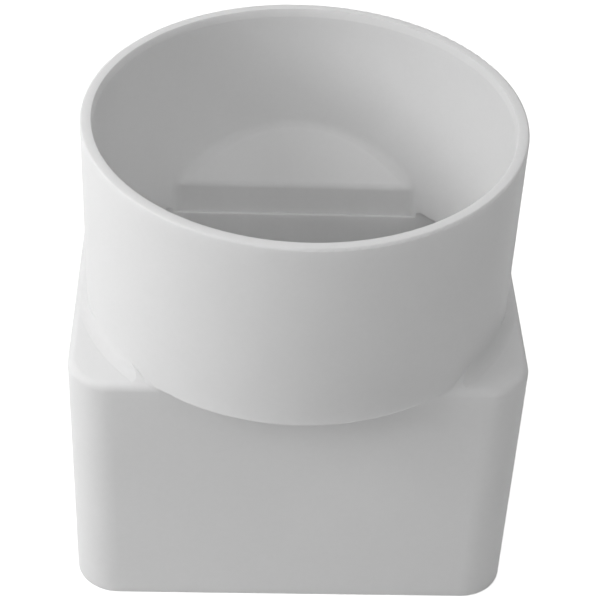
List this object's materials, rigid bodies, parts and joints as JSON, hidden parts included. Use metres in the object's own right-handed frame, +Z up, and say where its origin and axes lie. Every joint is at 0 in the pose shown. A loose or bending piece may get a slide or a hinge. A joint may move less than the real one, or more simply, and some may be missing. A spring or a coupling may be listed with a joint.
{
  "type": "downspout drain adapter",
  "caption": "White PVC adapter moulded in one piece: a rectangular socket for a downspout, and a wider round hub on top of it for a drain pipe.",
  "frame": {"origin": "centre of the rectangular mouth, at the plane of its rim, on the axis of the hub", "axes": "+Z up along the axis of the hub, from the rectangular mouth to the round one; +X along the long side of the rectangle; the picture's camera looks along +Y"},
  "size_m": [0.1196, 0.114, 0.131],
  "materials": {
    "white_pvc": "injection-moulded PVC, satin, neutral white"
  },
  "bodies": {
    "root": {"adapter_body": "white_pvc"}
  },
  "joints": []
}
